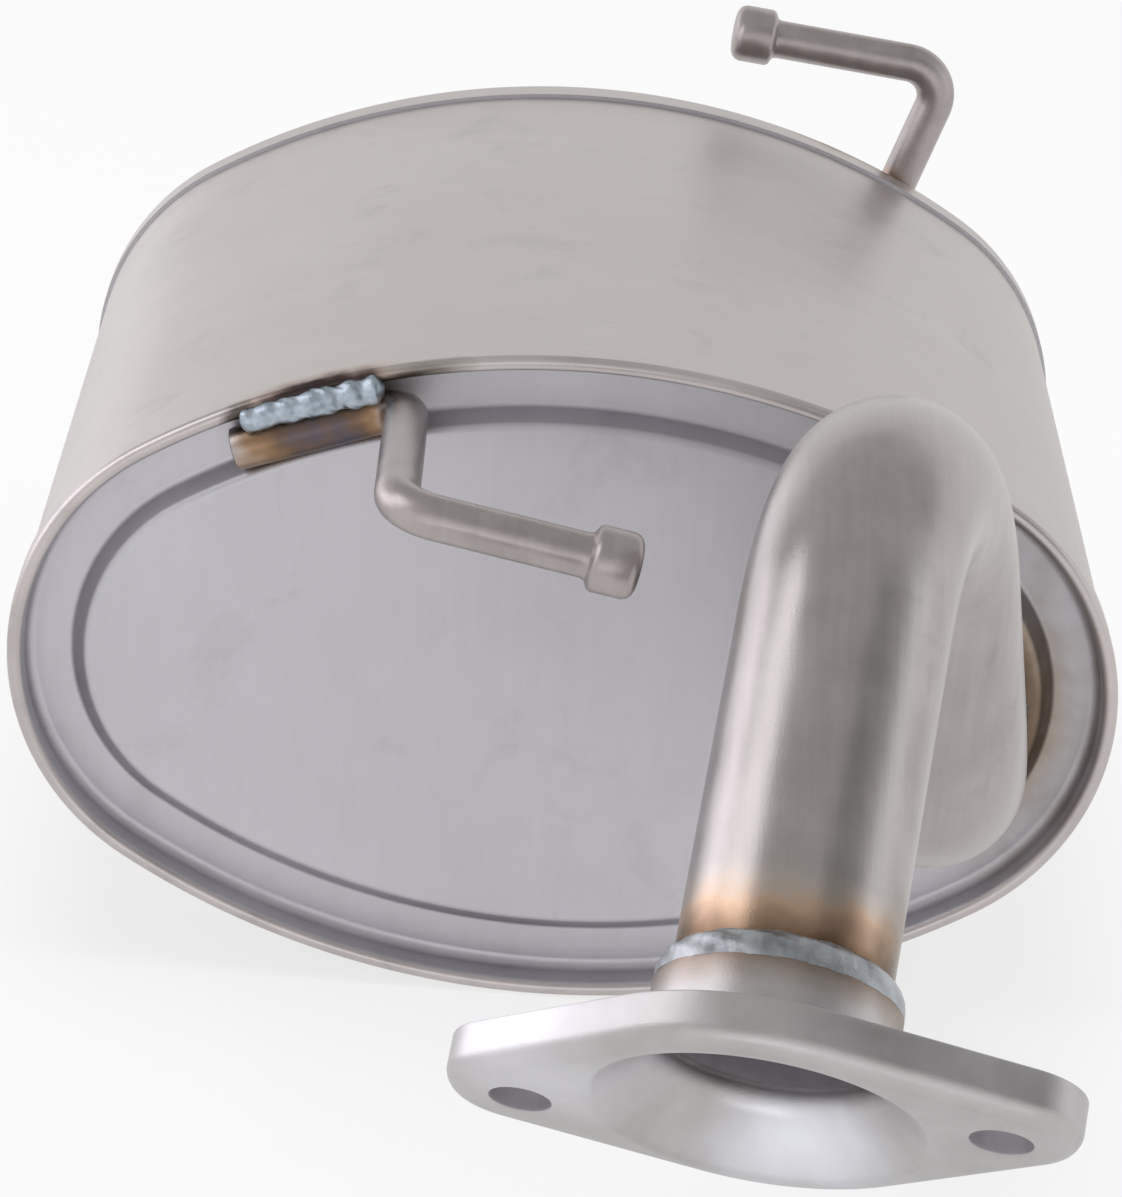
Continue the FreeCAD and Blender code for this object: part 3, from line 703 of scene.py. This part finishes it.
inletTube, inletLine = inletPipe()
inletPath = np.array([entry[0] for entry in inletLine])


def boreZone(centre):
    # 0 outside, 1 bore
    near = np.linalg.norm(inletPath - centre, axis=1).min()
    return 1 if near < pipe["radius"] - pipe["wall"] / 2 - 0.3 else 0


makePiece("inletPipe", *inletTube, [drawnTube, dullBore], "pipe_steel", "inlet_pipe",
          which=boreZone)


def outletPipe():
    end = can["length"] + pipe["outletReach"]
    neck = end - pipe["spigotLength"]
    wall = pipe["wall"]
    start = can["length"] - floorBack - pipe["lap"]
    wide, narrow = pipe["radius"], pipe["spigot"]
    profile = [(wide - wall, start), (wide - 0.2, start), (wide, start + 0.2)]
    profile += [(wide, y) for y in np.linspace(start + 4, neck - pipe["taper"], 20)]
    profile += [(narrow, y) for y in np.linspace(neck, end - 0.3, 14)]
    profile += [(narrow - 0.3, end), (narrow - wall + 0.2, end), (narrow - wall, end - 0.2),
                (narrow - wall, neck), (wide - wall, neck - pipe["taper"])]
    return lathe(profile, outletAt, yAxis, 128)


makePiece("outletPipe", *outletPipe(), drawnTube, "pipe_steel", "outlet_pipe")
print("pipes made")

# inlet flange

flange = {
    "sheet": 3.0, "wall": 10.5, "edge": 4.2, "inner": 1.0, "circle": 94.0, "hole": 6.0, "ear": 9.0,
    "mouth": 32.0, "margin": 7.0, "cone": 12.0, "coneBend": 6.0, "mouthRound": 2.2, "neck": 24.5,
    "roll": 16.6, "collarWall": 2.0, "collarHeight": 8.5, "mouthLap": 2.66,
    "beadHeight": 6.4, "beadSink": 0.6, "beadPitch": 2.6,
}
upright = np.cross(flangeWay, neckSide)
roll = math.radians(flange["roll"])
boltRow = neckSide * math.cos(roll) + upright * math.sin(roll)
flangeDepth = -flangeWay
flangeAcross = np.cross(flangeDepth, boltRow)


def onFlange(points):
    points = np.asarray(points, float)
    return flangeAt + points @ np.array([boltRow, flangeAcross, flangeDepth])


def flangeStations():
    # base point on the outline and the way outwards, all round
    disc, ear = flange["mouth"] + flange["margin"], flange["hole"] + flange["ear"]
    offset = flange["circle"] / 2
    slant = math.acos((disc - ear) / offset)
    arcs = [(offset, ear, -slant, slant, 40), (0, disc, slant, math.pi - slant, 40),
            (-offset, ear, math.pi - slant, math.pi + slant, 40),
            (0, disc, math.pi + slant, 2 * math.pi - slant, 40)]
    places = []
    for n, (cx, radius, first, last, count) in enumerate(arcs):
        for k in range(count + 1):
            t = first + (last - first) * k / count
            way = np.array([math.cos(t), math.sin(t)])
            places.append((np.array([cx, 0]) + way * radius, way))
        cx2, radius2, first2 = arcs[(n + 1) % 4][:3]
        way = np.array([math.cos(first2), math.sin(first2)])
        goal = np.array([cx2, 0]) + way * radius2
        start = places[-1][0]
        places += [(start + (goal - start) * k / 16, way) for k in range(1, 16)]
    return places


def inletFlange():
    sheet, edge, wall = flange["sheet"], flange["edge"], flange["wall"]
    places = flangeStations()
    section = [(edge * (1 - math.sin(t)), edge * (1 - math.cos(t)))
               for t in np.linspace(0, math.pi / 2, 12)]
    section += [(0, z) for z in np.linspace(edge + 1, wall - 0.5, 5)]
    section += [(0.15, wall - 0.15), (0.5, wall), (sheet - 0.4, wall), (sheet, wall - 0.4)]
    inner = flange["inner"]
    section += [(sheet, z) for z in np.linspace(wall - 1.5, sheet + inner, 4)]
    section += [(sheet + inner * (1 - math.cos(t)), sheet + inner * (1 - math.sin(t)))
                for t in np.linspace(0.3, math.pi / 2, 4)]
    grid = np.array([[tuple(base - way * inset) + (z,) for inset, z in section]
                     for base, way in places])
    rim = (grid.reshape(-1, 3),
           gridFaces(len(places), len(section), closeRows=True, closeColumns=False))

    half = sheet / 2
    flatEnd = flange["mouth"] + flange["mouthLap"]
    path = [(pipe["radius"] + half, flange["neck"], 0),
            (pipe["radius"] + half, flange["cone"], flange["coneBend"]),
            (flange["mouth"] + half, half, flange["mouthRound"]), (flatEnd, half, 0)]
    left, right = sheetSides(path, sheet, 10)
    bore, back = (left, right) if left[0][0] < right[0][0] else (right, left)
    # the drawn cone, stretched into more rings so that its light runs smoothly
    neckEnd = [(bore[0][0] + 0.3, flange["neck"]), (back[0][0] - 0.4, flange["neck"])]
    neck = np.concatenate([bore[:0:-1], [(bore[0][0], flange["neck"] - 0.3)], neckEnd,
                           [(back[0][0], flange["neck"] - 0.4)], back[1:]])
    around = 144
    turns = evenTurns(around)
    cone = [(r * math.cos(t), r * math.sin(t), z) for t in turns for r, z in neck]
    parts = [rim, (cone, gridFaces(around, len(neck), closeRows=True, closeColumns=False))]

    mouth = [(flatEnd * math.cos(t), flatEnd * math.sin(t)) for t in turns]
    hole = flange["hole"]
    faceLoops = [[tuple(p[:2]) for p in grid[:, 0]], mouth]
    backLoops = [[tuple(p[:2]) for p in grid[:, -1]], mouth]
    outer, deep = hole + flange["collarWall"], flange["collarHeight"]
    collar = ((hole + 0.6, 0.0), (hole + 0.18, 0.15), (hole, 0.6), (hole, 2.0), (hole, deep - 0.3),
              (hole + 0.3, deep), (outer - 0.3, deep), (outer, deep - 0.3), (outer, sheet))
    turns = evenTurns(64)
    for cx in (-flange["circle"] / 2, flange["circle"] / 2):
        rings = [[(cx + r * math.cos(t), r * math.sin(t), z) for t in turns] for r, z in collar]
        faceLoops.append([p[:2] for p in rings[0]])
        backLoops.append([p[:2] for p in rings[-1]])
        parts.append((np.array(rings).reshape(-1, 3), gridFaces(len(rings), len(turns))))
    parts.append(fillBetween(faceLoops, 0.0))
    parts.append(fillBetween(backLoops, sheet))
    verts, faces = joinParts(parts)
    return onFlange(verts), faces


def flangeZone(centre):
    # 0 pressed plate, 1 inside a bolt hole
    away = centre - flangeAt
    off = abs(away @ boltRow) - flange["circle"] / 2
    return 1 if math.hypot(off, away @ flangeAcross) < flange["hole"] + 0.1 else 0


makePiece("inletFlange", *inletFlange(), [pressedFlange, dullBore], "flange_steel", "inlet_flange",
          weighted=True, which=flangeZone)
print("flange made")

# hanger rods: round bar, bent cold, with an upset head


def hangerRod(points):
    rod, head = hangers["rod"], hangers["head"]
    line = runLine(points, (hangers["bend"], hangers["bend"]), step=1.5, turnStep=5)
    radii = [rod] * len(line)
    # sheared root end with a broken edge
    first, ahead = line[0][0], line[0][1]
    root = [(first + ahead * depth, ahead, 0, 0.0, None) for depth in (0.0, 0.0, 0.3)]
    line = root + line[1:]
    radii = [0.01, rod - 0.8, rod - 0.2] + radii[1:]
    tip, way = line[-1][0], line[-1][1]
    back = hangers["headLength"]
    keep = [i for i, entry in enumerate(line)
            if (tip - entry[0]) @ way > back + 2.0 or entry[1] @ way < 0.9]
    line, radii = [line[i] for i in keep], [radii[i] for i in keep]
    profile = [(back + 1.2, rod), (back + 0.3, rod + 0.25), (back, rod + 0.7),
               (back - 0.2, head - 1.4), (back - 0.7, head - 0.45), (back - 1.5, head),
               (back / 2, head), (2.6, head), (1.5, head - 0.35), (0.7, head - 1.1),
               (0.2, head - 2.2), (0.0, head - 3.6), (0.0, 0.01)]
    for depth, radius in profile:
        line.append((tip - way * depth, way, 0, 0.0, None))
        radii.append(radius)
    rings = tubeRings(line, 48, lambda i, out: radii[i])
    return rings.reshape(-1, 3), gridFaces(len(line), 48)


def frontRod():
    look = hangers["front"]
    middle, along = rimPlace(look["at"], rodInset)
    level = yAxis * rodLevel
    start = middle - along * (look["root"] / 2) + level
    corner = middle + along * (look["root"] / 2) + level
    bend = corner - yAxis * look["leg"]
    dip = math.radians(look["slope"])
    tip = bend + np.array([math.cos(dip), 0, -math.sin(dip)]) * look["reach"]
    return [start, corner, bend, tip]


def rearRod():
    look = hangers["rear"]
    middle, along = rimPlace(look["at"], rodInset)
    start = middle - along * (look["root"] / 2) + yAxis * (can["length"] - rodLevel)
    corner = middle + along * (look["root"] / 2) + yAxis * (can["length"] + hangers["rod"] + 0.2)
    lean = math.radians(look["lean"])
    bend = corner + np.array([math.cos(lean), 0, math.sin(lean)]) * look["leg"]
    dip = math.radians(look["slope"])
    tip = bend + np.array([-math.cos(dip), 0, math.sin(dip)]) * look["reach"]
    return [start, corner, bend, tip]


makePiece("frontHangerRod", *hangerRod(frontRod()), drawnBar, "hanger_steel", "front_hanger_rod")
makePiece("rearHangerRod", *hangerRod(rearRod()), drawnBar, "hanger_steel", "rear_hanger_rod")
print("hangers made")

# weld beads


def lumps(seed, count, size):
    # smooth random walk round a closed length, the unsteady hand of the welder
    rng = np.random.default_rng(seed)
    waves = [(rng.integers(2, count), rng.uniform(0, 2 * math.pi), rng.uniform(0.3, 1))
             for _ in range(9)]
    total = sum(w[2] for w in waves)
    return lambda t: size * sum(w * math.sin(n * t + phase) for n, phase, w in waves) / total


def ringBead(base, way, inner, width, height, pitch, seed, bulge=0.5, crisp=0.26):
    # fillet round a pipe: curved ripples, each overlapping the one before
    profile = [(inner, 0.0), (inner + width, 0.0)]
    for k in range(1, 10):
        t = k / 10
        r = inner + width * (1 - t)
        h = height * t
        push = bulge * math.sin(math.pi * t)
        profile.append((r + push, h + push))
    profile += [(inner, height)]
    steps = round(2 * math.pi * inner / pitch)
    wander = lumps(seed, 14, 1.0)

    def ripple(section, t):
        out = []
        for k, (r, h) in enumerate(section):
            if k < 1 or k == len(section) - 1:
                out.append((r, h + (0.5 * wander(t) if k else 0)))
                continue
            level = k / len(section)
            lean = 0.45 * math.sin(math.pi * level) + 0.2 * wander(3 * t)
            phase = (t * steps / (2 * math.pi) + lean) % 1
            push = crisp * (phase ** 0.6 - 0.55) + 0.45 * wander(t + level)
            edge = math.sin(math.pi * min(1, max(0, (k - 0.5) / (len(section) - 2))))
            out.append((r + push * (0.4 + edge) * 0.8, h + push * (0.4 + edge) * 0.8))
        return out
    return lathe(profile, base, way, steps * 8, ripple)


def straightBead(middle, along, seed):
    # one low pass in the groove between hem and rod: lumpy, with faint crescents
    radius, length = hangers["bead"], hangers["beadLength"]
    side = unit(np.cross(along, yAxis))
    rows, around = 150, 48
    rounded, flatness, crescent = 0.14, 0.86, 2.6  # end share, height to width, mm apart
    swell = lumps(seed, 11, 0.7)
    sway = lumps(seed + 3, 6, 0.55)
    verts = []
    for i in range(rows):
        s = -1 + 2 * i / (rows - 1)
        at = s * (length / 2 + radius / 2 - hangers["beadTrim"]) - hangers["beadShift"]
        end = math.sqrt(max(0.0, 1 - max(0.0, (abs(s) - (1 - rounded)) / rounded) ** 2))
        wide = radius * (0.80 + 0.07 * s) + swell(2.2 * s)
        for t in evenTurns(around):
            phase = ((at + 1.1 * math.cos(t) + 0.5 * swell(5 * s)) / crescent) % 1
            blob = swell(4.2 * s + 0.9 * math.cos(t) + 0.5 * math.sin(2 * t))
            push = 0.07 * (phase ** 0.7 - 0.5) + 0.38 * blob
            size = max(0.02, end) * (wide + push)
            verts.append(middle + along * at + side * (size * math.cos(t) + sway(2.4 * s))
                         + yAxis * size * math.sin(t) * flatness)
    faces = gridFaces(rows, around)
    first, last = list(range(around)), list(range((rows - 1) * around, rows * around))
    return verts, faces + [tuple(first[::-1]), tuple(last)]


inletBeadAt = inletAt + yAxis * floorFace
outletBeadAt = outletAt + yAxis * (can["length"] - floorFace)
neckBeadAt = flangeAt - flangeWay * (flange["neck"] - flange["beadSink"])
inletBead = ringBead(inletBeadAt, -yAxis, pipe["radius"], can["pipeBead"], can["pipeBead"], 2.4, 4)
outletBead = ringBead(outletBeadAt, yAxis, pipe["radius"], can["pipeBead"], can["pipeBead"], 2.4, 7)
neckBead = ringBead(neckBeadAt, -flangeWay, pipe["radius"], flange["sheet"], flange["beadHeight"],
                    flange["beadPitch"], 11, bulge=0.8, crisp=0.1)
makePiece("inletPipeWeld", *inletBead, weldBead, "weld_metal", "inlet_pipe_weld")
makePiece("outletPipeWeld", *outletBead, weldBead, "weld_metal", "outlet_pipe_weld")
makePiece("flangeWeld", *neckBead, ringWeld, "weld_metal", "flange_weld")
makePiece("frontHangerWeld", *straightBead(frontBeadAt, frontAlong, 5), weldBead, "weld_metal",
          "front_hanger_weld")
makePiece("rearHangerWeld", *straightBead(rearBeadAt, rearAlong, 8), weldBead, "weld_metal",
          "rear_hanger_weld")
print("welds made")

# studio

studio = {
    "floor": -0.0856, "white": 1.0, "ambient": 0.75, "floorGlow": 0.7,
    # grey screens, by their corners in metres: one overhead, one darker at the flange's right
    "cards": [
        ("ceilingCard",
         [(-1.9, -1.7, 0.95), (1.9, -1.7, 0.95), (1.9, 1.3, 0.95), (-1.9, 1.3, 0.95)], 0.6),
        ("sideCard",
         [(0.42, -0.75, 0.85), (1.25, -0.75, 0.45), (1.25, -0.12, 0.45), (0.42, -0.12, 0.85)],
         0.27),
    ],
    # soft boxes: place, what they face, size, watts, colour
    "boxes": [
        ("leftBox", (-1.15, 1.0, 0.16), (0.0, 0.1, 0.05), (1.5, 0.62), 1.7, "#f6f2ff"),
        ("rightBox", (1.25, 0.22, 0.45), (0.05, 0.05, 0.0), (0.16, 0.8), 0.35, "#e8f0ff"),
        ("frontBox", (-0.05, -0.95, 0.0), (0.0, 0.1, 0.0), (0.9, 0.16), 0.6, "#f6f6ff"),
    ],
    # two small ones that only the bright metal shows, and one overhead that it doesn't
    "mirrorBoxes": [
        ("flangeBox", (-0.48, 0.06, 0.38), (0.0, 0.0, 0.0), (0.3, 0.3), 0.5, "#fbfaff"),
        ("flangeLowBox", (-0.5, 0.22, 0.13), (0.0, 0.0, 0.0), (0.28, 0.22), 0.22, "#f6f2ff"),
    ],
    "topBox": ("topBox", (-0.2, 0.2, 1.5), (0.0, 0.25, 0.0), (1.0, 0.8), 8, "#ffffff"),
}
floorMesh = bpy.data.meshes.new("studioFloor")
floorMesh.from_pydata([(-4, -3, 0), (4, -3, 0), (4, 5, 0), (-4, 5, 0)], [], [(0, 1, 2, 3)])
floor = addObject("studioFloor", floorMesh)
floor.location = (0, 0, studio["floor"])
paper = bpy.data.materials.new("paperSweep")
tree = emptyTree(paper)
rays = addNode(tree, "LightPath")
matt = addNode(tree, "BsdfDiffuse", {"Color": hexColour("#f4f4f4")})
glow = addNode(tree, "Emission", {"Color": (1, 1, 1, 1), "Strength": 1.0})
seen = addNode(tree, "Math", {"operation": "MAXIMUM"},
               {0: (rays, "Is Camera Ray"), 1: (rays, "Is Glossy Ray")})
share = addNode(tree, "Math", {"operation": "MULTIPLY", 1: studio["floorGlow"]},
                {0: (seen, "Value")})
both = addNode(tree, "MixShader",
               links={0: (share, "Value"), 1: (matt, "BSDF"), 2: (glow, "Emission")})
addNode(tree, "OutputMaterial", links={"Surface": (both, "Shader")})
floorMesh.materials.append(paper)

world = bpy.data.worlds.new("studioAir")
bpy.context.scene.world = world
tree = emptyTree(world)
rays = addNode(tree, "LightPath")
one = addNode(tree, "Math", {"operation": "MAXIMUM"},
              {0: (rays, "Is Camera Ray"), 1: (rays, "Is Glossy Ray")})
seen = addNode(tree, "Math", {"operation": "MAXIMUM"},
               {0: (one, "Value"), 1: (rays, "Is Transmission Ray")})
dim = addNode(tree, "Background", {"Color": (1, 1, 1, 1), "Strength": studio["ambient"]})
white = addNode(tree, "Background", {"Color": (1, 1, 1, 1), "Strength": studio["white"]})
both = addNode(tree, "MixShader",
               links={0: (seen, "Value"), 1: (dim, "Background"), 2: (white, "Background")})
addNode(tree, "OutputWorld", links={"Surface": (both, "Shader")})


def softBox(name, place, target, size, power, colour, shines=True, mattToo=True):
    data = bpy.data.lights.new(name, "AREA")
    data.shape = "RECTANGLE"
    data.size, data.size_y = size
    data.energy = power
    data.color = hexColour(colour)[:3]
    lamp = addObject(name, data)
    lamp.location = place
    lamp.rotation_euler = (Vector(target) - Vector(place)).to_track_quat("-Z", "Y").to_euler()
    lamp.visible_glossy = shines
    lamp.visible_diffuse = mattToo
    lamp.visible_camera = False


def greyCard(name, corners, strength):
    # a grey screen that only shows as a reflection in the metal
    mesh = bpy.data.meshes.new(name)
    mesh.from_pydata(corners, [], [(0, 1, 2, 3)])
    card = addObject(name, mesh)
    card.visible_camera = card.visible_diffuse = card.visible_shadow = False
    card.visible_transmission = False
    finish = bpy.data.materials.new(name + "Paint")
    tree = emptyTree(finish)
    shade = addNode(tree, "Emission", {"Color": hexColour("#ffffff"), "Strength": strength})
    addNode(tree, "OutputMaterial", links={"Surface": (shade, "Emission")})
    mesh.materials.append(finish)


for card in studio["cards"]:
    greyCard(*card)
for box in studio["boxes"]:
    softBox(*box)
for box in studio["mirrorBoxes"]:
    softBox(*box, mattToo=False)
softBox(*studio["topBox"], shines=False)
print("studio lit")

# camera, at the photograph's angle

# focal length and picture height in pixels of the photograph, film height in mm, and the
# three directions of the lens, with its shift in mm from the can's middle
view = {
    "focal": 5000, "picture": 1197, "film": 36, "shift": (0.342, 20.052, 1148.72),
    "right": (0.99730991, 0.01235123, 0.07225231), "down": (0.07170293, -0.36905179, -0.9266388),
    "ahead": (0.01521971, 0.92932676, -0.36894463),
}
turn = np.array([view["right"], view["down"], view["ahead"]])
eye = toFrame(-turn.T @ np.array(view["shift"]))
cameraData = bpy.data.cameras.new("photoCamera")
cameraData.lens = view["focal"] * view["film"] / view["picture"]
cameraData.sensor_width = view["film"]
cameraData.clip_start = 0.05
camera = addObject("photoCamera", cameraData)
basis = Matrix.Identity(4)
for row in range(3):
    basis[row] = (turn[0][row], -turn[1][row], -turn[2][row], eye[row])
camera.matrix_world = basis
bpy.context.scene.camera = camera
bpy.context.scene.view_settings.view_transform = "Standard"
